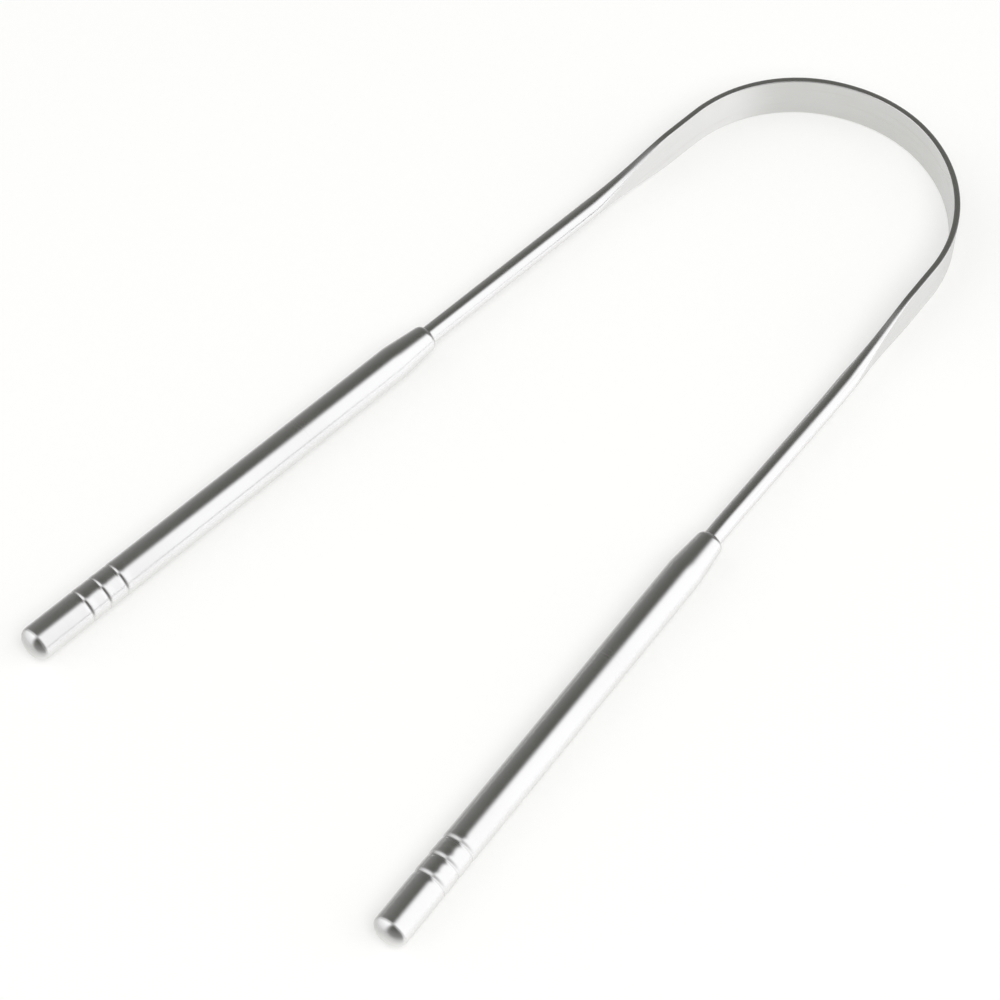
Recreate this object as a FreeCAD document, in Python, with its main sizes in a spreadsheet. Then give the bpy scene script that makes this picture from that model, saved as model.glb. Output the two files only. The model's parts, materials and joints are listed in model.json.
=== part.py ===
"""Tongue scraper: a wire bow with a flattened scraping loop, held by two hollow tube handles."""
import FreeCAD, Part
import math
import os
import Sketcher

doc = FreeCAD.newDocument("tongue_scraper")

# Driving dimensions, in millimetres and degrees
SIZES = (
    # The bow: round wire, rolled flat in the middle and bent into a U
    ("wire_diameter", 3.0),
    ("band_thickness", 0.94),
    ("band_edge_crown", 0.16),
    ("loop_radius", 23.5),
    ("splay_angle", 4.5),
    ("band_straight", 5.5),
    ("flatten_length", 16.5),
    ("flatten_land", 0.35),
    ("rod_length", 37.4),
    ("tang_length", 24.0),
    # The handles: tubes swaged onto the wire at the nose
    ("handle_diameter", 5.5),
    ("handle_length", 77.6),
    ("tube_wall", 0.55),
    ("nose_length", 7.6),
    ("nose_wall", 0.6),
    ("nose_grip", 2.5),
    ("nose_lip_radius", 0.45),
    ("shoulder_radius", 18.0),
    ("grip_clearance", 0.03),
    # Finger grooves rolled into the tail end of each tube
    ("groove_first", 8.8),
    ("groove_spacing", 3.28),
    ("groove_count", 3),
    ("groove_width", 0.7),
    ("groove_depth", 0.2),
    # Domed plugs in the tails
    ("plug_stem", 5.0),
    ("plug_rim", 0.45),
    ("plug_dome", 1.1),
    ("plug_clearance", 0.03),
)
# Largest part of a wall that a rounded edge may take
LIP_LIMIT_SHARE = 0.85
# Two measures that differ by less than this are the same
SAME_PLACE = 1e-5

sizes = doc.addObject("Spreadsheet::Sheet", "sizes")
for row, (name, number) in enumerate(SIZES, 1):
    sizes.set(f"A{row}", name)
    sizes.set(f"B{row}", str(number))
    sizes.setAlias(f"B{row}", name)
doc.recompute()

# Derived sizes, as expressions on the sheet
WIRE_RADIUS = "sizes.wire_diameter / 2"
HANDLE_RADIUS = "sizes.handle_diameter / 2"
BORE_RADIUS = "(sizes.handle_diameter / 2 - sizes.tube_wall)"
GRIP_RADIUS = "(sizes.wire_diameter / 2 + sizes.grip_clearance)"
NOSE_RADIUS = f"({GRIP_RADIUS} + sizes.nose_wall)"
STEM_RADIUS = f"({BORE_RADIUS} - sizes.plug_clearance)"
# The band's edges bulge as arcs: radius, half the angle that an arc spans, in radians, and area of a bulge
EDGE_RADIUS = "((sizes.band_thickness^2 / 4 + sizes.band_edge_crown^2) / (2 * sizes.band_edge_crown))"
EDGE_TURN = f"(asin(sizes.band_thickness / (2 * {EDGE_RADIUS})) * pi / 180deg)"
EDGE_AREA = (f"({EDGE_RADIUS}^2 * {EDGE_TURN}"
             f" - sizes.band_thickness / 2 * ({EDGE_RADIUS} - sizes.band_edge_crown))")
# Rolling keeps the wire's area: the band's section holds as much steel as the round wire
FLAT_HEIGHT = f"((pi / 4 * sizes.wire_diameter^2 - 2 * {EDGE_AREA}) / sizes.band_thickness)"
BAND_HEIGHT = f"({FLAT_HEIGHT} + 2 * sizes.band_edge_crown)"
# Part of the band's outline that lies on its edges, and the width of that part on the round wire
EDGE_ARC = f"(2 * {EDGE_RADIUS} * {EDGE_TURN})"
EDGE_SHARE = f"({EDGE_ARC} / ({EDGE_ARC} + {FLAT_HEIGHT}))"
EDGE_WIDTH = f"(sizes.wire_diameter * sin(90 * {EDGE_SHARE}))"
# Stations along an arm, measured from the end of the loop's arc towards the tail
FLAT_END = "sizes.band_straight"
ROUND_START = "(sizes.band_straight + sizes.flatten_length)"
NOSE_STATION = f"({ROUND_START} + sizes.rod_length)"
TAIL_STATION = f"({NOSE_STATION} + sizes.handle_length)"
# The dome is a cap of a sphere that meets the plug's rim
DOME_SPHERE = f"((({HANDLE_RADIUS})^2 + sizes.plug_dome^2) / (2 * sizes.plug_dome))"


def arm_x(station):
    return f"(sizes.loop_radius * cos(sizes.splay_angle) + {station} * sin(sizes.splay_angle))"


def arm_y(station):
    return f"(sizes.loop_radius * sin(sizes.splay_angle) - {station} * cos(sizes.splay_angle))"


# The frame's origin is under the middle of the part: the band's lower edge stands at height zero
FRONT_Y = "(sizes.loop_radius + sizes.band_thickness / 2)"
DOME_CENTRE = f"({TAIL_STATION} + sizes.plug_rim + sizes.plug_dome - {DOME_SPHERE})"
BACK_Y = f"({arm_y(DOME_CENTRE)} - {DOME_SPHERE})"
SHIFT_Y = f"(-({FRONT_Y} + {BACK_Y}) / 2)"
SHIFT_Z = f"({BAND_HEIGHT} / 2)"


def value(expression):
    """Number that an expression on the sheet has now."""
    return float(sizes.evalExpression(expression))


def bind(thing, expressions):
    """Tie properties of a document object to the sheet."""
    for path, expression in expressions.items():
        thing.setExpression(path, expression)


def origin_feature(body, role):
    """One of the body's own origin planes or axes."""
    for feature in body.Origin.OriginFeatures:
        if feature.Role == role:
            return feature
    raise ValueError(role)


def new_sketch(body, name, plane):
    sketch = body.newObject("Sketcher::SketchObject", name)
    sketch.AttachmentSupport = [(origin_feature(body, plane), "")]
    sketch.MapMode = "FlatFace"
    return sketch


def named(sketch, constraint, name, expression):
    """Add a dimension to a sketch and tie it to the sheet."""
    index = sketch.addConstraint(constraint)
    sketch.renameConstraint(index, name)
    sketch.setExpression(f"Constraints.{name}", expression)


def join_ends(sketch, edges, closed=True):
    """Make neighbours in a run of edges meet, end to start."""
    followers = edges[1:] + edges[:1] if closed else edges[1:]
    for edge, follower in zip(edges, followers):
        sketch.addConstraint(Sketcher.Constraint("Coincident", edge, 2, follower, 1))


def pin_corner(sketch, edge, corner, name):
    """Hold the start of an edge at a corner given as two expressions, where "0" lies on an axis."""
    for axis, kind, expression in ((-2, "DistanceX", corner[0]), (-1, "DistanceY", corner[1])):
        if expression == "0":
            sketch.addConstraint(Sketcher.Constraint("PointOnObject", edge, 1, axis))
        else:
            limit = Sketcher.Constraint(kind, -1, 1, edge, 1, value(expression))
            named(sketch, limit, f"{name}_{kind[-1].lower()}", expression)


def line(sketch, start, end):
    """Straight edge between two corners given as expressions."""
    ends = [FreeCAD.Vector(value(x), value(y), 0) for x, y in (start, end)]
    return sketch.addGeometry(Part.LineSegment(*ends))


def arc(sketch, centre, radius, start, end):
    """Arc of a circle from one angle to another, as a first guess for the constraints."""
    circle = Part.Circle(FreeCAD.Vector(*centre, 0), FreeCAD.Vector(0, 0, 1), radius)
    return sketch.addGeometry(Part.ArcOfCircle(circle, math.radians(start), math.radians(end)))


def revolve(body, kind, name, sketch, axis, angle_expression="360"):
    feature = body.newObject(kind, name)
    feature.Profile = sketch
    feature.ReferenceAxis = (origin_feature(body, axis), [""])
    feature.setExpression("Angle", angle_expression)
    return feature


def round_edge(body, name, base, edge_at, radius_expression):
    """Fillet the ring edge of a revolved piece whose radius and place along the axis are given."""
    doc.recompute()
    ring_radius, along = (value(expression) for expression in edge_at)
    for number, edge in enumerate(base.Shape.Edges, 1):
        if not isinstance(edge.Curve, Part.Circle):
            continue
        misfit = max(abs(edge.Curve.Radius - ring_radius), abs(edge.Curve.Center.y - along))
        if misfit < SAME_PLACE:
            fillet = body.newObject("PartDesign::Fillet", name)
            fillet.Base = (base, [f"Edge{number}"])
            fillet.setExpression("Radius", radius_expression)
            return fillet
    raise ValueError(name)


def slot_section(body, name, plane):
    """Section of the flat band: two straight faces and two bulging edges, centred on its own origin."""
    sketch = new_sketch(body, name, plane)
    half_thickness = value("sizes.band_thickness / 2")
    half_flat = value(f"{FLAT_HEIGHT} / 2")
    radius = value(EDGE_RADIUS)
    lean = math.degrees(value(EDGE_TURN))
    edge_centre = half_flat + value("sizes.band_edge_crown") - radius
    corners = ((half_thickness, -half_flat), (half_thickness, half_flat))
    right = sketch.addGeometry(Part.LineSegment(*[FreeCAD.Vector(x, y, 0) for x, y in corners]))
    top = arc(sketch, (0, edge_centre), radius, 90 - lean, 90 + lean)
    left = sketch.addGeometry(Part.LineSegment(*[FreeCAD.Vector(-x, -y, 0) for x, y in corners]))
    bottom = arc(sketch, (0, -edge_centre), radius, 270 - lean, 270 + lean)
    join_ends(sketch, [right, top, left, bottom])
    sketch.addConstraint(Sketcher.Constraint("Symmetric", right, 1, left, 1, -1, 1))
    sketch.addConstraint(Sketcher.Constraint("Symmetric", top, 1, top, 2, -2))
    sketch.addConstraint(Sketcher.Constraint("Symmetric", bottom, 1, bottom, 2, -2))
    sketch.addConstraint(Sketcher.Constraint("Equal", top, bottom))
    thickness = Sketcher.Constraint("DistanceX", top, 2, top, 1, 2 * half_thickness)
    named(sketch, thickness, "thickness", "sizes.band_thickness")
    flat = Sketcher.Constraint("DistanceY", right, 1, right, 2, 2 * half_flat)
    named(sketch, flat, "flat_height", FLAT_HEIGHT)
    named(sketch, Sketcher.Constraint("Radius", top, radius), "edge_radius", EDGE_RADIUS)
    return sketch


def round_section(body, name, plane):
    """Section of the round wire, split so that faces and edges take the same share of it as of the band."""
    sketch = new_sketch(body, name, plane)
    radius = value(WIRE_RADIUS)
    lean = value(f"90 * {EDGE_SHARE}")
    turns = (lean - 90, 90 - lean, 90 + lean, 270 - lean, 270 + lean)
    right, top, left, bottom = [arc(sketch, (0, 0), radius, *turn) for turn in zip(turns, turns[1:])]
    join_ends(sketch, [right, top, left, bottom])
    for edge in (right, top, left, bottom):
        sketch.addConstraint(Sketcher.Constraint("Coincident", edge, 3, -1, 1))
    sketch.addConstraint(Sketcher.Constraint("Symmetric", top, 1, top, 2, -2))
    sketch.addConstraint(Sketcher.Constraint("Symmetric", right, 1, right, 2, -1))
    sketch.addConstraint(Sketcher.Constraint("Symmetric", left, 1, left, 2, -1))
    named(sketch, Sketcher.Constraint("Radius", top, radius), "wire_radius", WIRE_RADIUS)
    width = Sketcher.Constraint("DistanceX", top, 2, top, 1, value(EDGE_WIDTH))
    named(sketch, width, "edge_width", EDGE_WIDTH)
    return sketch


def place_on_arm(sketch, station):
    """Carry a section to a station of the right arm, square to the arm and facing its tail."""
    across = FreeCAD.Rotation(FreeCAD.Vector(0, 1, 0), value("sizes.splay_angle"))
    sketch.AttachmentOffset = FreeCAD.Placement(FreeCAD.Vector(0, 0, 0), across)
    bind(sketch, {
        "AttachmentOffset.Base.x": arm_x(station),
        "AttachmentOffset.Base.z": f"-{arm_y(station)}",
        "AttachmentOffset.Rotation.Angle": "sizes.splay_angle",
    })
    return sketch


def extrude(body, name, sketch, length_expression):
    pad = body.newObject("PartDesign::Pad", name)
    pad.Profile = sketch
    pad.setExpression("Length", length_expression)
    return pad


def make_bow():
    """One wire: round tang and arm, flattened band, and the bent loop between the two arms."""
    body = doc.addObject("PartDesign::Body", "scraper_bow")
    body.Label = "scraper_bow"
    # The loop: the band's section turned about the loop's upright axis
    loop_section = slot_section(body, "loop_section", "YZ_Plane")
    loop_section.setExpression("AttachmentOffset.Base.x", "sizes.loop_radius")
    turn = "180 - 2 * sizes.splay_angle"
    loop = revolve(body, "PartDesign::Revolution", "loop", loop_section, "Z_Axis", turn)
    loop.Midplane = True
    # The arm: straight band, round-to-flat stretch, then plain wire down to the end of the tang
    band_section = place_on_arm(slot_section(body, "band_section", "XZ_Plane"), "0")
    band = extrude(body, "band", band_section, "sizes.band_straight")
    stations = (
        ("flat_end", slot_section, FLAT_END),
        ("flat_land", slot_section, f"({FLAT_END} + sizes.flatten_land)"),
        ("round_land", round_section, f"({ROUND_START} - sizes.flatten_land)"),
        ("round_start", round_section, ROUND_START),
    )
    rolled = [place_on_arm(make(body, name, "XZ_Plane"), station) for name, make, station in stations]
    flattening = body.newObject("PartDesign::AdditiveLoft", "flattening")
    flattening.Profile = rolled[0]
    flattening.Sections = rolled[1:]
    rod_section = place_on_arm(round_section(body, "rod_section", "XZ_Plane"), ROUND_START)
    rod = extrude(body, "rod", rod_section, "sizes.rod_length + sizes.tang_length")
    # The other arm is its mirror image
    arms = body.newObject("PartDesign::Mirrored", "arms")
    arms.Originals = [band, flattening, rod]
    arms.MirrorPlane = (origin_feature(body, "YZ_Plane"), [""])
    body.Tip = arms
    bind(body, {"Placement.Base.y": SHIFT_Y, "Placement.Base.z": SHIFT_Z})
    return body


def place_on_handle(body, side, station):
    """Lay a piece drawn along +Y on one arm, with its own origin at a station and +Y towards the tail."""
    bind(body, {
        "Placement.Base.x": f"{side} * {arm_x(station)}",
        "Placement.Base.y": f"{arm_y(station)} + {SHIFT_Y}",
        "Placement.Base.z": SHIFT_Z,
        "Placement.Rotation.Angle": f"180 + {side} * sizes.splay_angle",
    })
    return body


def draw_tube_wall(body, name):
    """Half section of the tube from its nose: cone, wide shoulder arc, plain grip, tail and bore."""
    wall = new_sketch(body, f"{name}_wall", "XY_Plane")
    shoulder_x = f"({HANDLE_RADIUS} - sizes.shoulder_radius)"
    # The cone's slope and end are a first guess: its tangency with the shoulder arc settles them
    slope = math.degrees(math.atan2(value(f"{HANDLE_RADIUS} - {NOSE_RADIUS}"), value("sizes.nose_length")))
    cone_end = (f"({shoulder_x} + sizes.shoulder_radius * cos({slope}))",
                f"(sizes.nose_length - sizes.shoulder_radius * sin({slope}))")
    nose_corners = [(GRIP_RADIUS, "0"), (NOSE_RADIUS, "0"), cone_end]
    tail_corners = [
        (HANDLE_RADIUS, "sizes.nose_length"),
        (HANDLE_RADIUS, "sizes.handle_length"),
        (BORE_RADIUS, "sizes.handle_length"),
        (BORE_RADIUS, "sizes.nose_length"),
        (GRIP_RADIUS, "sizes.nose_grip"),
    ]
    face, cone = [line(wall, *ends) for ends in zip(nose_corners, nose_corners[1:])]
    centre = (value(shoulder_x), value("sizes.nose_length"))
    shoulder = arc(wall, centre, value("sizes.shoulder_radius"), -slope, 0)
    tail = [line(wall, *ends) for ends in zip(tail_corners, tail_corners[1:] + nose_corners[:1])]
    join_ends(wall, tail + [face, cone], closed=False)
    wall.addConstraint(Sketcher.Constraint("Tangent", cone, 2, shoulder, 1))
    wall.addConstraint(Sketcher.Constraint("Tangent", shoulder, 2, tail[0], 1))
    radius = Sketcher.Constraint("Radius", shoulder, value("sizes.shoulder_radius"))
    named(wall, radius, "shoulder_radius", "sizes.shoulder_radius")
    pinned = zip([face, cone] + tail, nose_corners[:2] + tail_corners)
    for number, (edge, corner) in enumerate(pinned, 1):
        pin_corner(wall, edge, corner, f"corner{number}")
    return wall


def roll_grooves(body, name):
    """Row of rings rolled into the tail: the roller's wedge gives a groove its width and depth."""
    middle = "(sizes.handle_length - sizes.groove_first)"
    # The wedge stands as far out of the tube as it reaches in, where it is twice as wide as the groove
    outside = f"({HANDLE_RADIUS} + sizes.groove_depth)"
    corners = [
        (f"({HANDLE_RADIUS} - sizes.groove_depth)", middle),
        (outside, f"({middle} - sizes.groove_width)"),
        (outside, f"({middle} + sizes.groove_width)"),
    ]
    rolled = new_sketch(body, f"{name}_roller", "XY_Plane")
    edges = [line(rolled, *ends) for ends in zip(corners, corners[1:] + corners[:1])]
    join_ends(rolled, edges)
    for number, (edge, corner) in enumerate(zip(edges, corners), 1):
        pin_corner(rolled, edge, corner, f"corner{number}")
    groove = revolve(body, "PartDesign::Groove", f"{name}_groove", rolled, "Y_Axis")
    grooves = body.newObject("PartDesign::LinearPattern", f"{name}_grooves")
    grooves.Originals = [groove]
    grooves.Direction = (origin_feature(body, "Y_Axis"), [""])
    grooves.Reversed = True
    bind(grooves, {
        "Length": "sizes.groove_spacing * (sizes.groove_count - 1)",
        "Occurrences": "sizes.groove_count",
    })
    body.Tip = grooves
    return grooves


def make_sleeve(name, side):
    """Hollow handle: a tube swaged onto the wire at its nose, with finger grooves near its open tail."""
    body = doc.addObject("PartDesign::Body", name)
    body.Label = name
    tube = revolve(body, "PartDesign::Revolution", f"{name}_tube", draw_tube_wall(body, name), "Y_Axis")
    lip_radius = f"min(sizes.nose_lip_radius; {LIP_LIMIT_SHARE} * sizes.nose_wall)"
    lip = round_edge(body, f"{name}_lip", tube, (NOSE_RADIUS, "0"), lip_radius)
    grooves = roll_grooves(body, name)
    doc.recompute()
    print(f"{name}: the grooves take {lip.Shape.Volume - grooves.Shape.Volume:.2f} mm3")
    return place_on_handle(body, side, NOSE_STATION)


def make_plug(name, side):
    """Domed plug, drawn from the inner end of its stem: its rim seats on the end of the tube."""
    body = doc.addObject("PartDesign::Body", name)
    body.Label = name
    half = new_sketch(body, f"{name}_half", "XY_Plane")
    rim_top = "(sizes.plug_stem + sizes.plug_rim)"
    corners = [
        ("0", "0"),
        (STEM_RADIUS, "0"),
        (STEM_RADIUS, "sizes.plug_stem"),
        (HANDLE_RADIUS, "sizes.plug_stem"),
        (HANDLE_RADIUS, rim_top),
        ("0", f"({rim_top} + sizes.plug_dome)"),
    ]
    edges = [line(half, *ends) for ends in zip(corners[:4], corners[1:5])]
    dome_centre = f"({rim_top} + sizes.plug_dome - {DOME_SPHERE})"
    spread = math.degrees(math.asin(value(f"{HANDLE_RADIUS} / {DOME_SPHERE}")))
    dome = arc(half, (0, value(dome_centre)), value(DOME_SPHERE), 90 - spread, 90)
    edges += [dome, line(half, corners[5], corners[0])]
    join_ends(half, edges)
    half.addConstraint(Sketcher.Constraint("PointOnObject", dome, 3, -2))
    for number, (edge, corner) in enumerate(zip(edges, corners), 1):
        pin_corner(half, edge, corner, f"corner{number}")
    revolve(body, "PartDesign::Revolution", f"{name}_turned", half, "Y_Axis")
    return place_on_handle(body, side, f"({TAIL_STATION} - sizes.plug_stem)")


pieces = [make_bow()]
for side_name, side in (("left", -1), ("right", 1)):
    pieces.append(make_sleeve(f"{side_name}_handle_sleeve", side))
    pieces.append(make_plug(f"{side_name}_end_plug", side))
doc.recompute()

for thing in doc.Objects:
    if "Invalid" in thing.State or "Error" in thing.State:
        raise RuntimeError(f"{thing.Name}: {thing.State}")
for piece in pieces:
    if piece.Shape.isNull() or not piece.Shape.isValid() or len(piece.Shape.Solids) != 1:
        raise RuntimeError(f"{piece.Label} is not one valid solid")

os.makedirs("parts", exist_ok=True)
for piece in pieces:
    piece.Shape.exportStep(f"parts/{piece.Label}.step")
    box = piece.Shape.BoundBox
    print(f"{piece.Label}: {piece.Shape.Volume:.2f} mm3, x {box.XMin:.2f} {box.XMax:.2f},"
          f" y {box.YMin:.2f} {box.YMax:.2f}, z {box.ZMin:.2f} {box.ZMax:.2f}")
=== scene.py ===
# %% [markdown]
# # A tongue scraper of polished steel
# The real object is one length of round steel wire, rolled flat in its middle and bent into a U.
# A hollow tube handle is swaged onto each arm, and a domed plug closes each tail.
# The packed CAD part gives the frame and the places. This lesson lays smooth meshes over its solids,
# because a mirror finish shows every facet: what the eye reads on polished steel is the shape of the
# reflections, not the steel's colour.

# %% Load the packed part
import json
import math

import bmesh
import bpy
import numpy as np
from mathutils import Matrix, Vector


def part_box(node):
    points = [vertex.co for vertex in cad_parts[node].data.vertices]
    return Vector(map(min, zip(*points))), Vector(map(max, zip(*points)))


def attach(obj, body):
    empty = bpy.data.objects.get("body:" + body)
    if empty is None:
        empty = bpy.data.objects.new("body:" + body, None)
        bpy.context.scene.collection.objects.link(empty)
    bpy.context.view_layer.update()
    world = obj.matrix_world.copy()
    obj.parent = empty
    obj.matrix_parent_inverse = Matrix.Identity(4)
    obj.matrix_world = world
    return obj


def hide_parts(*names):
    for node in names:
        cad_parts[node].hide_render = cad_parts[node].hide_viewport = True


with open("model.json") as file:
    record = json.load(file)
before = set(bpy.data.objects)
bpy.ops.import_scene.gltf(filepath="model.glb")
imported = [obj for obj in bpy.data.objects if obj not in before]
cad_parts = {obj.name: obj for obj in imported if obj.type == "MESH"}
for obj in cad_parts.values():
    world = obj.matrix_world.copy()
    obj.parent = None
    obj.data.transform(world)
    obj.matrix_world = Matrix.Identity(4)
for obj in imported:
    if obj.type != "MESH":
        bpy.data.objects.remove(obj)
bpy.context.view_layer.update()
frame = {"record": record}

MM = 0.001

# %% [markdown]
# ## Measures
# These are the CAD part's sizes in millimetres, the unit that a maker would mark out in, and every
# mesh is scaled to metres once, when it is built. A few differ from the solids' by up to a
# millimetre, where softer forms fit the photograph better: the end of the rolled stretch, the tip of
# the nose and the crown of the band's edges. The heights and the loop's place are read from the
# loaded part, so that the meshes stay on it. A station is a distance along an arm, counted from the
# place where the loop's arc ends.

# %% Measures of the scraper, in millimetres
WIRE_RADIUS = 1.5
BAND_HALF_THICKNESS = 0.47
BAND_EDGE_CROWN = 0.1
LOOP_RADIUS = 23.5
SPLAY = math.radians(4.5)
BAND_END = 5.5
ROUND_START = 23.0
NOSE = 59.2
TANG_END = 83.4
TAIL = 137.0
HANDLE_RADIUS = 2.75
SIDES = {"left": -1, "right": 1}

bow_low, bow_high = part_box("scraper_bow")
WIRE_HEIGHT = (bow_low.z + bow_high.z) / 2 / MM
BAND_HALF_HEIGHT = (bow_high.z - bow_low.z) / 2 / MM
LOOP_CENTRE_Y = bow_high.y / MM - LOOP_RADIUS - BAND_HALF_THICKNESS
print(f"wire at height {WIRE_HEIGHT:.3f}, band {2 * BAND_HALF_HEIGHT:.3f} tall, "
      f"loop centre y {LOOP_CENTRE_Y:.3f} mm")

# %% [markdown]
# ## The path of the wire
# The bow follows an arc with two straight arms that splay a little. One number, the distance along
# the wire from the crown of the loop, is enough to find a place on it: negative on the left arm,
# positive on the right. At each place the path also gives the outward direction, which the section
# needs as its width axis. A curve object could hold the same line, but a function can also be asked
# where the handles' axes run and where the floor touches.
#
# A wire that is bent by hand is never quite true. On this one the right half stands out by a third
# of a millimetre round the loop, comes back in before the nose, and leans out again along the
# handle. A table of a few such offsets, smoothed over a few millimetres, bends the path, and the
# handle then follows its own straight piece of it.

# %% Places along the bow
ARC_HALF_LENGTH = LOOP_RADIUS * (math.pi / 2 - SPLAY)
WANDER_BY_DISTANCE = {
    -8.0: 0.0,
    4.0: 0.3,
    18.0: 0.36,
    ARC_HALF_LENGTH + 29.0: 0.36,
    ARC_HALF_LENGTH + NOSE - 3.0: -0.18,
    ARC_HALF_LENGTH + TAIL: 0.5,
}
WANDER_FROM = -60.0
WANDER_TO = 260.0
WANDER_STEP = 0.25
WANDER_SPAN = 11
wander_axis = np.arange(WANDER_FROM, WANDER_TO, WANDER_STEP)
wander_bends = np.interp(wander_axis, list(WANDER_BY_DISTANCE), list(WANDER_BY_DISTANCE.values()))
wander_table = np.convolve(wander_bends, np.ones(WANDER_SPAN) / WANDER_SPAN, "same")


def bow_place(distance):
    """Centre of the wire and its outward direction, at a distance from the crown."""
    turn = min(max(distance, -ARC_HALF_LENGTH), ARC_HALF_LENGTH) / LOOP_RADIUS
    outward = Vector((math.sin(turn), math.cos(turn), 0))
    centre = outward * LOOP_RADIUS + Vector((0, LOOP_CENTRE_Y, WIRE_HEIGHT))
    past = max(abs(distance) - ARC_HALF_LENGTH, 0.0)
    centre += Vector((math.copysign(math.sin(SPLAY), distance), -math.cos(SPLAY), 0)) * past
    return centre + outward * float(np.interp(distance, wander_axis, wander_table)), outward


def arm_place(side, station):
    """Point of an arm's centreline."""
    return bow_place(side * (ARC_HALF_LENGTH + station))[0]


print("crown", [round(c, 2) for c in bow_place(0)[0]],
      "right tail", [round(c, 2) for c in arm_place(SIDES["right"], TAIL)])

# %% [markdown]
# ## Skinning rings
# Every piece here is a row of closed rings, so one helper joins neighbouring rings with quads. A cap
# closes each end, or the last ring joins the first where the piece is a hollow tube. A bevelled curve
# would be quicker, but it keeps one outline all the way, only larger or smaller. Two values ride
# along on the points for the finishes: the place on the metal in millimetres, along the piece and
# round it, and how deep the point lies in a groove or a crevice. The finish paints shade into the
# colour there and roughens it.

# %% Ring skinner
def skin(name, rings, places, recesses, closed=False):
    """Mesh object from rings of points in millimetres, with what the finishes read."""
    bm = bmesh.new()
    count = len(rings[0])
    rows = [[bm.verts.new(Vector(point) * MM) for point in ring] for ring in rings]
    following = rows[1:] + rows[:1] if closed else rows[1:]
    for row, after in zip(rows, following):
        for i in range(count):
            j = (i + 1) % count
            bm.faces.new((row[i], row[j], after[j], after[i]))
    if not closed:
        bm.faces.new(rows[0][::-1])
        bm.faces.new(rows[-1])
    bmesh.ops.recalc_face_normals(bm, faces=bm.faces)
    mesh = bpy.data.meshes.new(name)
    bm.to_mesh(mesh)
    bm.free()
    mesh.attributes.new("metal_place", "FLOAT_VECTOR", "POINT")
    mesh.attributes.new("recess", "FLOAT", "POINT")
    place_values = np.array(places, np.float32).ravel()
    recess_values = np.array(recesses, np.float32).ravel()
    mesh.attributes["metal_place"].data.foreach_set("vector", place_values)
    mesh.attributes["recess"].data.foreach_set("value", recess_values)
    mesh.shade_smooth()
    piece = bpy.data.objects.new(name, mesh)
    bpy.context.scene.collection.objects.link(piece)
    print(f"{name}: {len(rings)} rings of {count}, {len(mesh.polygons)} faces")
    return piece


def ease(share):
    """Smooth step from 0 to 1."""
    share = min(max(share, 0.0), 1.0)
    return share * share * (3 - 2 * share)


# %% [markdown]
# ## The bow's section
# Rolling presses two flats onto the wire and lets its free edges bulge. The roller leaves its own
# curve at the end of each flat, so the wire's thickness falls off steeply beside the round arm and
# slowly towards the band. The metal that is pressed away goes into the height: each section keeps
# about the area of the wire. A loft between two outlines would leave the sides round all the way;
# flats that widen as the wire thins give the long wedge that the light picks out.

# %% Sections of the bow
FLAT_SOFTNESS = 0.05
EDGE_FALL = 1.2
SWEEP_STEPS = 200
QUARTER_POINTS = 26
WIRE_AREA = math.pi * WIRE_RADIUS ** 2
BAND_HALF_FLAT = BAND_HALF_HEIGHT - BAND_EDGE_CROWN
BAND_EDGE_AREA = math.pi * BAND_HALF_THICKNESS * BAND_EDGE_CROWN
BAND_AREA = 4 * BAND_HALF_THICKNESS * BAND_HALF_FLAT + BAND_EDGE_AREA


def section_sizes(station):
    """Half thickness, half height of the flats and crown of the edges, at a station of the arm."""
    share = max(station - BAND_END, 0.0) / (ROUND_START - BAND_END)
    rising, full = math.exp(-share ** 2 / FLAT_SOFTNESS), math.exp(-1 / FLAT_SOFTNESS)
    fullness = min(max(-FLAT_SOFTNESS * math.log(rising + full), 0.0), 1.0)
    thickness = BAND_HALF_THICKNESS + fullness * (WIRE_RADIUS - BAND_HALF_THICKNESS)
    crown = BAND_EDGE_CROWN + fullness ** EDGE_FALL * (WIRE_RADIUS - BAND_EDGE_CROWN)
    area = BAND_AREA + fullness * (WIRE_AREA - BAND_AREA)
    return thickness, max((area - math.pi * thickness * crown) / (4 * thickness), 0.0), crown


def section_points(station):
    """Outline of the wire as (outward, upward) pairs, closer together where it turns."""
    thickness, flat, crown = section_sizes(station)
    sweep = np.linspace(0, math.pi / 2, SWEEP_STEPS)
    outward = np.concatenate(([thickness], thickness * np.cos(sweep)))
    upward = np.concatenate(([0.0], flat + crown * np.sin(sweep)))
    pieces = np.hypot(np.diff(outward), np.diff(upward))
    length = np.concatenate(([0.0], np.cumsum(pieces)))
    turn = np.arctan2(thickness * np.sin(sweep), crown * np.cos(sweep))
    turn = np.concatenate(([0.0], turn))
    measure = length / length[-1] + turn / turn[-1]
    wanted = np.linspace(0, measure[-1], QUARTER_POINTS + 1)[:-1]
    quarter = [(np.interp(m, measure, outward), np.interp(m, measure, upward)) for m in wanted]
    top = (0.0, flat + crown)
    half = quarter + [top] + [(-across, up) for across, up in reversed(quarter[1:])]
    return half + [(-across, -up) for across, up in half]


for title, station in (("band", BAND_END), ("arm", NOSE)):
    thickness, flat, crown = section_sizes(station)
    print(f"{title}: {2 * thickness:.2f} thick, {2 * (flat + crown):.2f} mm tall")

# %% [markdown]
# ## The bow
# The bow is one skin from tang to tang. Its rings stand close where the section or the direction
# changes and far apart on the plain arms, because a mirror shows a change of slope long before the
# outline does. Where the wire enters each handle, its colour is darkened a little as painted shade.

# %% Bow mesh
BAND_RINGS = 12
ROLLED_RINGS = 110
ARM_RINGS = 24
ARC_RINGS = 241
ROLLED_RUN_OUT = 5.0
NOSE_RING_OFFSETS = (-0.3, -0.1, 0.0, 0.1, 0.4)
TANG_TIP = 0.3
TANG_TIP_SHARE = 0.85
CREVICE_REACH = 0.22

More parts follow.
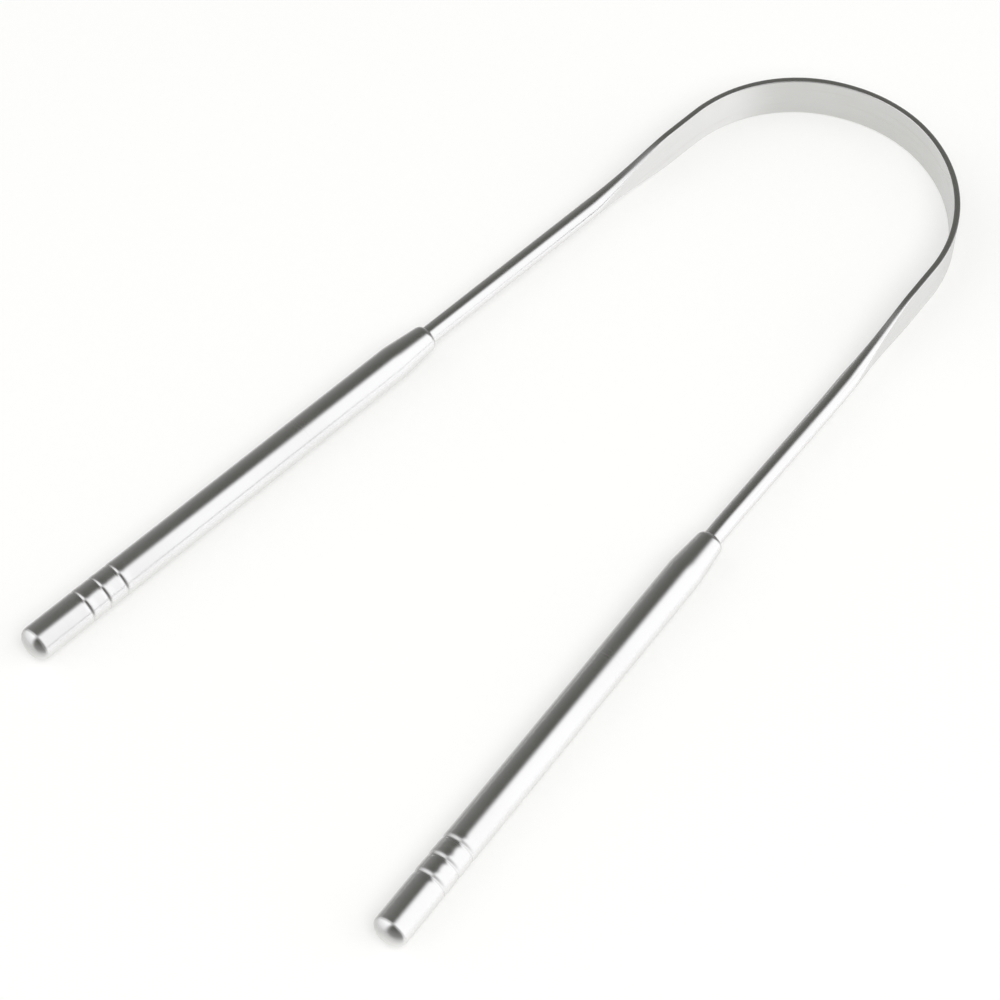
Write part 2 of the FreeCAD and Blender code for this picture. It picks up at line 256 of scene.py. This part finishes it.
rolled_end = ROUND_START + ROLLED_RUN_OUT
nose_rings = [NOSE + offset for offset in NOSE_RING_OFFSETS]
stations = [
    *np.linspace(0, BAND_END, BAND_RINGS)[1:],
    *np.linspace(BAND_END, rolled_end, ROLLED_RINGS)[1:],
    *np.linspace(rolled_end, nose_rings[0], ARM_RINGS)[1:-1],
    *nose_rings,
    TANG_END - TANG_TIP,
    TANG_END,
]
arm_distances = [ARC_HALF_LENGTH + station for station in stations]
arc_distances = list(np.linspace(-ARC_HALF_LENGTH, ARC_HALF_LENGTH, ARC_RINGS))
distances = [-d for d in reversed(arm_distances)] + arc_distances + arm_distances

rings, places, recesses = [], [], []
for distance in distances:
    centre, outward = bow_place(distance)
    station = abs(distance) - ARC_HALF_LENGTH
    outline = section_points(station)
    shrink = TANG_TIP_SHARE if station > TANG_END - TANG_TIP / 2 else 1.0
    rings.append([centre + outward * (across * shrink) + Vector((0, 0, up * shrink))
                  for across, up in outline])
    places += [(distance, math.atan2(up, across) * WIRE_RADIUS, up) for across, up in outline]
    # Painted shade: the wire's colour darkens towards the nose, where it enters the handle.
    recesses += [ease(1 - abs(station - NOSE) / CREVICE_REACH)] * len(outline)
bow = skin("scraper_bow_polished", rings, places, recesses)

# %% [markdown]
# ## Turning a piece on an arm
# Each handle is a tube that was turned, grooved and then swaged onto the wire, so its shape is a
# profile spun about the arm's axis. The plug in its tail is turned too. A Screw modifier could spin
# them. A helper of our own lets every point carry its place and its recess as well. The axis is the
# straight line through two places of the bent arm, one behind the nose and one near the tail.

# %% Spin a profile about an arm
HANDLE_SEGMENTS = 144
NOSE_LENGTH = 7.8
NOSE_END = NOSE + NOSE_LENGTH
AXIS_END = TAIL - 3.25
UP = Vector((0, 0, 1))


def spin(name, side, profile, closed):
    """Piece of revolution on an arm from (station, radius, recess) triples."""
    front, back = arm_place(side, NOSE_END), arm_place(side, AXIS_END)
    along = (back - front).normalized()
    start = front - along * NOSE_END
    across = UP.cross(along)
    turns = [2 * math.pi * i / HANDLE_SEGMENTS for i in range(HANDLE_SEGMENTS)]
    rays = [across * math.cos(turn) + UP * math.sin(turn) for turn in turns]
    rings = [[start + along * s + ray * radius for ray in rays] for s, radius, _ in profile]
    places = [(s, turn * HANDLE_RADIUS, radius) for s, radius, _ in profile for turn in turns]
    recesses = [recess for _, _, recess in profile for _ in turns]
    return skin(name, rings, places, recesses, closed)


for name, side in SIDES.items():
    axis = arm_place(side, AXIS_END) - arm_place(side, NOSE_END)
    print(f"{name} handle leans {math.degrees(math.atan2(axis.x, -axis.y)):.2f} degrees")

# %% [markdown]
# ## Nose and tail of a handle
# Swaging squeezes the tube's end down onto the wire and rolls its lip over. Behind the lip a shallow
# cone runs up to the full tube with a long, soft shoulder. At the tail the tube rounds off with the
# plug, as one superellipse. Bevels on a plain cone would come close, but arcs that meet the cone at
# its own slope leave no kink, and on a mirror finish a kink shows up as a bright or dark line.

# %% Nose and tail of the handle
GRIP_RADIUS = 1.53
LIP_RADIUS = 1.1
LIP_LEAN = math.radians(62)
LIP_REACH = 0.15
LIP_RINGS = 28
NOSE_TIP = NOSE - LIP_REACH
NOSE_SLOPE = math.radians(5.3)
CONE_RINGS = 12
SHOULDER_RADIUS = 18.0
SHOULDER_RINGS = 18
END_START = TAIL - 0.4
END_TIP = TAIL + 1.5
END_LENGTH = END_TIP - END_START
END_POWER = 2.3


def end_radius(station):
    """Outer radius of the rounded tail, shared by the tube's last half millimetre and the plug."""
    share = min(max((station - END_START) / END_LENGTH, 0.0), 1.0)
    return HANDLE_RADIUS * (1 - share ** END_POWER) ** (1 / END_POWER)


def nose_points():
    """Outside of the swaged nose: rolled lip, cone tangent to it, and the shoulder's arc."""
    shoulder_start = NOSE_END - SHOULDER_RADIUS * math.sin(NOSE_SLOPE)
    shoulder_low = HANDLE_RADIUS - SHOULDER_RADIUS * (1 - math.cos(NOSE_SLOPE))
    lip_end = NOSE_TIP + LIP_RADIUS * (math.sin(LIP_LEAN) - math.sin(NOSE_SLOPE))
    lip_top = shoulder_low - (shoulder_start - lip_end) * math.tan(NOSE_SLOPE)
    lip = [(NOSE_TIP + LIP_RADIUS * (math.sin(LIP_LEAN) - math.sin(lean)),
            lip_top - LIP_RADIUS * (math.cos(NOSE_SLOPE) - math.cos(lean)))
           for lean in np.linspace(LIP_LEAN, NOSE_SLOPE, LIP_RINGS)]
    cone = [(s, shoulder_low - (shoulder_start - s) * math.tan(NOSE_SLOPE))
            for s in np.linspace(lip_end, shoulder_start, CONE_RINGS)[1:-1]]
    shoulder = [(NOSE_END - SHOULDER_RADIUS * math.sin(lean),
                 HANDLE_RADIUS - SHOULDER_RADIUS * (1 - math.cos(lean)))
                for lean in np.linspace(NOSE_SLOPE, 0, SHOULDER_RINGS)]
    return lip + cone + shoulder


lip_radii = [radius for _, radius in nose_points()[:LIP_RINGS]]
print(f"lip from radius {lip_radii[0]:.2f} to {lip_radii[-1]:.2f} mm, over the wire's {WIRE_RADIUS}")

# %% [markdown]
# ## Finger grooves
# The three grooves are rolled in, not cut. The roller raises a low swell on the nose side and leaves
# a shallow valley behind it, so the walls lean only a little. That is enough to turn the mirror
# towards another wall of the studio: a groove reads as a short bright dash in the dark stripe and as
# a grey hair in the white one. The left handle's rolls are tighter than the right one's, which makes
# its dashes thinner and its hairs darker. A bump in the material could fake them, but the outline
# would stay smooth, so each groove is two bell curves in the profile.

# %% Finger grooves
GROOVE_COUNT = 3
GROOVE_SPACING = 3.25
LAST_GROOVE = TAIL - 8.72
GROOVES = [LAST_GROOVE - GROOVE_SPACING * i for i in reversed(range(GROOVE_COUNT))]
ROLLED = {
    "left": {"depth": 0.05, "width": 0.25, "swell": 0.04, "ahead": 0.6, "spread": 0.5},
    "right": {"depth": 0.074, "width": 0.46, "swell": 0.04, "ahead": 0.9, "spread": 0.55},
}
WALL_REACH = 1.0
WALL_STEP = 0.02


def groove_depth(roll, station):
    """Depth of the rolled grooves below the tube's surface, with the swell ahead of each."""
    depth = 0.0
    for middle in GROOVES:
        gap = station - middle
        depth += roll["depth"] * math.exp(-(gap / roll["width"]) ** 2)
        depth -= roll["swell"] * math.exp(-((gap + roll["ahead"]) / roll["spread"]) ** 2)
    return depth


for name, roll in ROLLED.items():
    wall = [groove_depth(roll, s) for s in np.arange(GROOVES[1] - WALL_REACH, GROOVES[1], WALL_STEP)]
    lean = math.degrees(math.atan(max(np.diff(wall)) / WALL_STEP))
    print(f"{name} grooves at {[round(g, 2) for g in GROOVES]} mm, walls lean {lean:.1f} degrees")

# %% [markdown]
# ## The handles
# A handle's profile runs up the outside from the nose, over the finger grooves to the tail, and back
# through the bore. It is a real tube, because the wire and the plug go into it. Its rings stand
# closest over the grooves. The bottoms of the grooves and the edge of the lip are marked as recesses,
# and so is the bore; the finish paints shade into the colour of every recess.

# %% Handle meshes
GRIP_RINGS = 24
TAIL_RINGS = 10
END_RINGS = 8
RING_GAP = 0.2
FINE_BEFORE = 2.4
FINE_AFTER = 1.4
FINE_STEP = 0.04
SEAM_ROUND = 0.03
SEAM_STEP = 0.01
SEAM_EASE = 0.006
BORE_RADIUS = 2.2
TAIL_FACE = 0.1
THROAT_START = 0.6
THROAT_END = 2.5
LIP_INSET = 0.02
GROOVE_RECESS = 0.3
GROOVE_RECESS_REACH = 0.14
LIP_RECESS_REACH = 0.2

fine_start, fine_end = GROOVES[0] - FINE_BEFORE, GROOVES[-1] + FINE_AFTER
outside_stations = [
    *np.linspace(NOSE_END + RING_GAP, fine_start - RING_GAP, GRIP_RINGS),
    *np.arange(fine_start, fine_end, FINE_STEP),
    *np.linspace(fine_end + RING_GAP, END_START, TAIL_RINGS),
    *np.linspace(END_START, TAIL - SEAM_ROUND, END_RINGS)[1:],
]
seam = [(TAIL - SEAM_STEP, end_radius(TAIL) - SEAM_EASE), (TAIL, end_radius(TAIL) - SEAM_ROUND)]
inside = [
    (TAIL, BORE_RADIUS + TAIL_FACE),
    (TAIL, BORE_RADIUS),
    (NOSE_END, BORE_RADIUS),
    (NOSE + THROAT_END, GRIP_RADIUS),
    (NOSE + THROAT_START, GRIP_RADIUS),
    (NOSE_TIP + LIP_INSET, GRIP_RADIUS),
]


def handle_profile(roll):
    """Profile of one handle: nose, grip, grooves and tail, then back through the bore."""
    tube = [(s, end_radius(s) - groove_depth(roll, s)) for s in outside_stations]
    profile = []
    for s, radius in nose_points() + tube + seam:
        # Recess marks: painted shade and extra roughness in the grooves' bottoms and at the lip's edge
        # by the wire.
        in_groove = sum(ease(1 - abs(s - middle) / GROOVE_RECESS_REACH) for middle in GROOVES)
        by_wire = ease(1 - (radius - GRIP_RADIUS) / LIP_RECESS_REACH) if s < NOSE + LIP_RADIUS else 0.0
        profile.append((s, radius, min(GROOVE_RECESS * in_groove + by_wire, 1.0)))
    # The bore is all recess: its colour carries painted shade.
    return profile + [(s, radius, 1.0) for s, radius in inside]


sleeves = {name: spin(f"{name}_handle_polished", side, handle_profile(ROLLED[name]), True)
           for name, side in SIDES.items()}
print(f"handles from {NOSE_TIP:.2f} to {TAIL:.2f} mm along the arm")

# %% [markdown]
# ## The end plugs
# A plug is a short stem with a domed head, pressed into the open tube and polished together with it,
# so that the seam all but disappears. It could be a cap on the tube's mesh, but it is a piece of its
# own on the real handle and stays one here. The dome carries on the tube's own rounding, where the
# dark and the bright stripe swap places.

# %% Plug meshes
PLUG_STEM = 5.0
STEM_RADIUS = 2.17
STEM_LEAD = 0.3
STEM_LEAD_SHARE = 0.9
STEM_CORNER = 0.02
SEAT_CORNER = 0.05
SEAT_GAP = 0.005
DOME_GAP = 0.04
DOME_RINGS = 46

seat = TAIL + SEAT_GAP
rim = seat + SEAM_STEP
head = [
    (TAIL - PLUG_STEM, STEM_RADIUS * STEM_LEAD_SHARE),
    (TAIL - PLUG_STEM + STEM_LEAD, STEM_RADIUS),
    (TAIL - STEM_CORNER, STEM_RADIUS),
    (seat, STEM_RADIUS + SEAT_CORNER),
    (seat, end_radius(TAIL) - SEAM_ROUND),
    (rim, end_radius(rim) - SEAM_EASE),
]
dome_turn = math.asin((TAIL + DOME_GAP - END_START) / END_LENGTH)
for share in np.sin(np.linspace(dome_turn, math.pi / 2, DOME_RINGS)[:-1]):
    station = END_START + share * END_LENGTH
    head.append((station, end_radius(station)))
# The stem inside the tube is marked as a recess, so its colour carries painted shade.
plug_profile = [(s, radius, 1.0 if s <= seat else 0.0) for s, radius in head]
plugs = {name: spin(f"{name}_plug_polished", side, plug_profile, False)
         for name, side in SIDES.items()}
print(f"tail rounds off from station {END_START:.2f} to {END_TIP:.2f} mm")

# %% [markdown]
# ## Shader maths as Python
# A finish is a chain of small sums on values that vary over the metal. Linking a Math node for each
# by hand hides what is being worked out. One class wraps an output socket, so that those sums can be
# written as they are spoken. Any other node comes from its `node` method, which sets a node's own
# settings first and then fills or links its sockets.

# %% Socket wrapper
class Signal:
    """A value that flows through a node tree."""

    def __init__(self, tree, socket):
        self.tree = tree
        self.socket = socket

    @staticmethod
    def node(tree, kind, settings=None, inputs=None, output=0):
        """One of the outputs of a new node, or the node itself where it has none."""
        made = tree.nodes.new(kind)
        for name, setting in (settings or {}).items():
            setattr(made, name, setting)
        for name, given in (inputs or {}).items():
            if isinstance(given, Signal):
                tree.links.new(given.socket, made.inputs[name])
            else:
                made.inputs[name].default_value = given
        return Signal(tree, made.outputs[output]) if made.outputs else made

    def sibling(self, output):
        """Another output of the node that this value comes from."""
        return Signal(self.tree, self.socket.node.outputs[output])

    def sum(self, operation, *terms):
        """A Math node on values and numbers."""
        return Signal.node(self.tree, "ShaderNodeMath", {"operation": operation}, dict(enumerate(terms)))

    def __add__(self, other):
        return self.sum("ADD", self, other)

    def __radd__(self, other):
        return self.sum("ADD", other, self)

    def __sub__(self, other):
        return self.sum("SUBTRACT", self, other)

    def __rsub__(self, other):
        return self.sum("SUBTRACT", other, self)

    def __mul__(self, other):
        return self.sum("MULTIPLY", self, other)

    def __rmul__(self, other):
        return self.sum("MULTIPLY", other, self)

    def __truediv__(self, other):
        return self.sum("DIVIDE", self, other)

    def __rtruediv__(self, other):
        return self.sum("DIVIDE", other, self)

    def at_least(self, lowest):
        """This value, or the lowest that it may be."""
        return self.sum("MAXIMUM", self, lowest)

    def step(self, low, high):
        """Smooth rise from 0 at low to 1 at high."""
        settings = {"interpolation_type": "SMOOTHSTEP"}
        inputs = {0: self, 1: low, 2: high, 3: 0.0, 4: 1.0}
        return Signal.node(self.tree, "ShaderNodeMapRange", settings, inputs)

    def blend(self, low, high):
        """Colour that runs from low to high as this value runs from 0 to 1."""
        settings = {"data_type": "RGBA"}
        return Signal.node(self.tree, "ShaderNodeMix", settings, {0: self, 6: low, 7: high}, output=2)


reflected = [name for name in vars(Signal) if name.startswith("__r")]
print("sums that also work with a plain number in front:", reflected)

# %% [markdown]
# ## Polished steel
# Polished stainless steel is a metal with a low roughness: sharp enough to mirror a handle's
# neighbour, soft enough to blur the edge of a wall. What makes it look real is what the polishing
# leaves behind: fine lines along the bow and round the handles and a haze that comes and goes. The
# grooves, the lip's edge, the inside of the tube and the wire's corner by the nose are rougher, and
# their colour is darkened there as painted shade. The lines and the haze change the roughness and the
# tone by a few hundredths, and the lines add a faint bump, so that reflections stay clean. Noise that
# is stretched over the metal's own millimetres needs no picture of scratches and keeps its scale on
# every piece.

# %% Finish of the polished steel
LINE_EDGES = (0.52, 0.72)
LINE_DETAIL = {"Scale": 1.0, "Detail": 4.0, "Roughness": 0.6}
LINE_BUMP = {"Strength": 0.02, "Distance": 0.00002}
HAZE_EDGES = (0.35, 0.75)
HAZE_DETAIL = 3.0
HAZE_TRACE = 0.4
RECESS_SHADE_WEIGHT = 0.85
WARM_SHARES = (0.965, 0.957, 0.95)
RECESS_SHADE_SHARE = 0.42
POLISHED_ROUGHNESS = 0.23
HAZE_ROUGHNESS = 0.03
LINE_ROUGHNESS = 0.03
RECESS_ROUGHNESS = 0.15
POLISHING = {
    "polished_wire": {"line_scale": (0.04, 1.5, 1.5), "line_trace": 1.6, "haze_scale": 0.12},
    "polished_tube": {"line_scale": (9.0, 0.05, 0.05), "line_trace": 0.3, "haze_scale": 0.10},
    "polished_plug": {"line_scale": (7.0, 0.2, 7.0), "line_trace": 0.3, "haze_scale": 0.30},
}


def polished_steel(name, tone, line_scale, line_trace, haze_scale):
    """Material for one slot, from the steel's tone and the scale and trace of its polishing."""
    material = bpy.data.materials.new(name)
    material.use_nodes = True
    tree = material.node_tree
    tree.nodes.clear()
    place = Signal.node(tree, "ShaderNodeAttribute", {"attribute_name": "metal_place"}, output=1)
    recess = Signal.node(tree, "ShaderNodeAttribute", {"attribute_name": "recess"}, output=2)
    stretch = Signal.node(tree, "ShaderNodeVectorMath", {"operation": "MULTIPLY"},
                          {0: place, 1: line_scale})
    lines = Signal.node(tree, "ShaderNodeTexNoise", {}, {"Vector": stretch, **LINE_DETAIL})
    haze = Signal.node(tree, "ShaderNodeTexNoise", {},
                       {"Vector": place, "Scale": haze_scale, "Detail": HAZE_DETAIL})
    streak = lines.step(*LINE_EDGES)
    cloud = haze.step(*HAZE_EDGES)
    warm = [share * c for share, c in zip(WARM_SHARES, tone)]
    recess_shade = [RECESS_SHADE_SHARE * c for c in tone]
    colour = (cloud * HAZE_TRACE + streak * line_trace).blend((*tone, 1.0), (*warm, 1.0))
    # Painted shade: the colour of every recess is darkened towards a grey at 0.42 of the tone.
    colour = (recess * RECESS_SHADE_WEIGHT).blend(colour, (*recess_shade, 1.0))
    roughness = POLISHED_ROUGHNESS + cloud * HAZE_ROUGHNESS + streak * LINE_ROUGHNESS
    roughness = roughness + recess * RECESS_ROUGHNESS
    bump = Signal.node(tree, "ShaderNodeBump", {}, {**LINE_BUMP, "Height": lines})
    shader = Signal.node(tree, "ShaderNodeBsdfPrincipled", {}, {
        "Base Color": colour, "Metallic": 1.0, "Roughness": roughness, "Normal": bump})
    Signal.node(tree, "ShaderNodeOutputMaterial", {}, {"Surface": shader})
    return material


tones = {m["slot"]: tuple(m["base_color"]) for m in frame["record"]["materials"]}
finishes = {slot: polished_steel(slot, tones[slot], **polish) for slot, polish in POLISHING.items()}
print("finishes:", tones)

# %% [markdown]
# ## Everything on the one body
# The part has no joint, so all the pieces ride on the body "root". Each one takes the place of its
# CAD node and wears the slot that the record gives that node.

# %% Ride, replace and dress
dressed = [(bow, "scraper_bow", "polished_wire")]
for name in SIDES:
    dressed.append((sleeves[name], f"{name}_handle_sleeve", "polished_tube"))
    dressed.append((plugs[name], f"{name}_end_plug", "polished_plug"))
for piece, node, slot in dressed:
    piece.data.materials.append(finishes[slot])
    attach(piece, "root")
    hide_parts(node)
print("dressed:", [piece.name for piece, _, _ in dressed])

# %% [markdown]
# ## The floor
# A scraper laid on a table rests on the band's lower edge and on the undersides of its two tails,
# which stand a little higher. The part could be tipped until it rests there, but it has to stay in
# the CAD part's frame, so the floor is tilted by that fraction of a degree instead. It is ten metres
# wide, so that no edge of it shows in the steel.

# %% Floor
FLOOR_HALF = 5000.0
FLOOR_CUTS = 9
FLOOR_CORNERS = [(-1, -1), (1, -1), (1, 1), (-1, 1)]
band_contact_y = arm_place(SIDES["right"], BAND_END).y
tail_contact_y = arm_place(SIDES["right"], TAIL).y
tilt = (WIRE_HEIGHT - HANDLE_RADIUS) / (band_contact_y - tail_contact_y)


def floor_point(across, along):
    """Point of the tilted floor under a place given in halves of its width."""
    y = along * FLOOR_HALF
    return Vector((across * FLOOR_HALF, y, -tilt * (y - band_contact_y)))


bm = bmesh.new()
bm.faces.new([bm.verts.new(floor_point(*corner) * MM) for corner in FLOOR_CORNERS])
bmesh.ops.subdivide_edges(bm, edges=bm.edges, cuts=FLOOR_CUTS, use_grid_fill=True)
floor_mesh = bpy.data.meshes.new("white_floor")
bm.to_mesh(floor_mesh)
bm.free()
floor = bpy.data.objects.new("white_floor", floor_mesh)
bpy.context.scene.collection.objects.link(floor)
print(f"floor tilt {math.degrees(tilt):.3f} degrees, {len(floor_mesh.polygons)} faces")

# %% [markdown]
# ## White card
# The floor is plain white card under a glaze. Two fifths of its white is its own, for the camera and
# for what the steel mirrors, so that shadows stay as pale as on a bright sheet; the rest is the light
# that falls on it. A stronger lamp would whiten the card too, but it would deepen the shadow with it.
# Seen at a flat angle, a glazed sheet shows the room and not its own white. So the rays that the
# steel mirrors pass through the card there, to the lower half of the studio, which is painted as that
# second reflection.

# %% Floor finish
CARD_LOW = (0.965, 0.965, 0.945, 1.0)
CARD_HIGH = (0.985, 0.985, 0.965, 1.0)
CARD_GRAIN = {"Scale": 900.0, "Detail": 3.0}
CARD_GLOW = {"Color": (1.0, 1.0, 0.985, 1.0), "Strength": 1.0}
OWN_WHITE = 0.4
GLAZE = 1.2
GLAZE_BLEND = 0.5

card = bpy.data.materials.new("white_card")
card.use_nodes = True
tree = card.node_tree
tree.nodes.clear()
spot = Signal.node(tree, "ShaderNodeTexCoord", output="Object")
grain = Signal.node(tree, "ShaderNodeTexNoise", {}, {"Vector": spot, **CARD_GRAIN})
sheet = Signal.node(tree, "ShaderNodeBsdfDiffuse", {}, {"Color": grain.blend(CARD_LOW, CARD_HIGH)})
glow = Signal.node(tree, "ShaderNodeEmission", {}, CARD_GLOW)
seen = Signal.node(tree, "ShaderNodeLightPath", output="Is Camera Ray")
mirrored = seen.sibling("Is Glossy Ray")
through = seen.sibling("Is Transmission Ray")
own_white = (seen + mirrored + through) * OWN_WHITE
pale = Signal.node(tree, "ShaderNodeMixShader", {}, {0: own_white, 1: sheet, 2: glow})
facing = Signal.node(tree, "ShaderNodeLayerWeight", {}, {"Blend": GLAZE_BLEND}, output="Facing")
glaze = mirrored * (GLAZE * facing)
room = Signal.node(tree, "ShaderNodeBsdfTransparent")
surface = Signal.node(tree, "ShaderNodeMixShader", {}, {0: glaze, 1: pale, 2: room})
Signal.node(tree, "ShaderNodeOutputMaterial", {}, {"Surface": surface})
floor_mesh.materials.append(card)
print("card:", len(tree.nodes), "nodes")

# %% [markdown]
# ## Studio light
# A polished piece is lit by what it mirrors. Three things can be read off the stripes on the handles:
# a bright key wall ahead on the right, past the crown of the loop, whose edge runs almost overhead
# and draws the long line on each handle, a softer fill wall behind on the left, and a dim room
# between them. Lit panels could stand in for the walls, but the world can paint them by direction,
# with an edge as soft as each stripe asks for. An edge is a sum that crosses zero, stepped from 0 to
# 1. Below the horizon the edges spread out, as reflections in a glazed sheet do.

# %% World
KEY_LEVEL = 1.27
FILL_LEVEL = 0.92
FILL_RISE = 0.4
FILL_SINK = 0.65
DIM_LEVEL = 0.26
DIM_FALL = 0.19
WALL_BOW = 0.5
WALL_LEAN = 0.2
WALL_SHIFT = 0.04
WALL_SPREAD = 2.2
WALL_SOFTNESS = 0.21
FRONT_SHIFT = 0.04
FRONT_SINK = 0.2
FRONT_SPREAD = 1.2
FRONT_SOFTNESS = 0.14
COOL_WHITE = 1.03
WARM_DIM = 0.012

scene = bpy.context.scene
scene.view_settings.view_transform = "Standard"
world = bpy.data.worlds.new("studio")
scene.world = world
world.use_nodes = True
tree = world.node_tree
tree.nodes.clear()
direction = Signal.node(tree, "ShaderNodeTexCoord", output="Generated")
x = Signal.node(tree, "ShaderNodeSeparateXYZ", {}, {0: direction})
y, z = x.sibling(1), x.sibling(2)
ahead = y.at_least(0.0)
behind = ahead - y
down = (-1 * z).at_least(0.0)
wall_edge = x - WALL_BOW * ahead * ahead + WALL_LEAN * behind - WALL_SHIFT
right = (wall_edge / (1 + WALL_SPREAD * down)).step(-WALL_SOFTNESS, WALL_SOFTNESS)
front_edge = y - FRONT_SHIFT + FRONT_SINK * down
front = (front_edge / (1 + FRONT_SPREAD * down)).step(-FRONT_SOFTNESS, FRONT_SOFTNESS)
dim = DIM_LEVEL - DIM_FALL * z
fill = FILL_LEVEL + FILL_RISE * z - FILL_SINK * down * down
key_wall = right * front
fill_wall = (1 - right) * (1 - front)
level = dim + key_wall * (KEY_LEVEL - dim) + fill_wall * (fill - dim)
blue = level * COOL_WHITE - WARM_DIM
grey = Signal.node(tree, "ShaderNodeCombineColor", {}, {0: level, 1: level, 2: blue})
studio = Signal.node(tree, "ShaderNodeBackground", {}, {"Color": grey, "Strength": 1.0})
Signal.node(tree, "ShaderNodeOutputWorld", {}, {"Surface": studio})
print("studio:", len(tree.nodes), "nodes")

# %% [markdown]
# ## The soft lamp
# The walls light the steel, but the scraper's shadow on the card comes from above. One large disc
# lamp, high on the right and towards the tails, gives it a soft edge and a direction. A small lamp
# or a sun would cut a hard one. The steel doesn't mirror the lamp, so that its stripes come from the
# walls alone.

# %% Lamp
LAMP_PLACE = Vector((0.88, -0.55, 1.71))
LAMP_SIZE = 1.6
LAMP_POWER = 23.5

lamp_data = bpy.data.lights.new("overhead_lamp", "AREA")
lamp_data.shape = "DISK"
lamp_data.size = LAMP_SIZE
lamp_data.energy = LAMP_POWER
lamp = bpy.data.objects.new("overhead_lamp", lamp_data)
scene.collection.objects.link(lamp)
lamp.location = LAMP_PLACE
lamp.rotation_euler = (-LAMP_PLACE).to_track_quat("-Z", "Y").to_euler()
lamp.visible_glossy = False
print(f"lamp {LAMP_PLACE.length:.2f} m away, {LAMP_SIZE} m across")

# %% [markdown]
# ## Camera
# The photograph was taken from above the right tail with a long lens. Its angle and distance were
# fitted to the outlines of the arms, the loop and the handles. A shorter lens from closer by could
# frame the same picture, but it would make the near handle too thick beside the far one.

# %% Camera
ELEVATION = math.radians(57.12)
HEADING = math.radians(41.14)
DISTANCE = 470.4
FOCAL_PIXELS = 3176.5
IMAGE_PIXELS = 1000
SENSOR = 36.0
AIM = Vector((-0.08, -16.11, WIRE_HEIGHT))
CLIP_START = 0.01
CLIP_END = 20.0

level_share = math.cos(ELEVATION)
forward = Vector((
    -math.sin(HEADING) * level_share, math.cos(HEADING) * level_share, -math.sin(ELEVATION)))
camera_data = bpy.data.cameras.new("photo_camera")
camera_data.sensor_width = SENSOR
camera_data.sensor_fit = "HORIZONTAL"
camera_data.lens = FOCAL_PIXELS * SENSOR / IMAGE_PIXELS
camera_data.clip_start = CLIP_START
camera_data.clip_end = CLIP_END
camera = bpy.data.objects.new("photo_camera", camera_data)
scene.collection.objects.link(camera)
camera.location = (AIM - forward * DISTANCE) * MM
camera.rotation_euler = forward.to_track_quat("-Z", "Y").to_euler()
scene.camera = camera
print(f"camera at {[round(c / MM, 1) for c in camera.location]} mm, lens {camera_data.lens:.1f} mm")
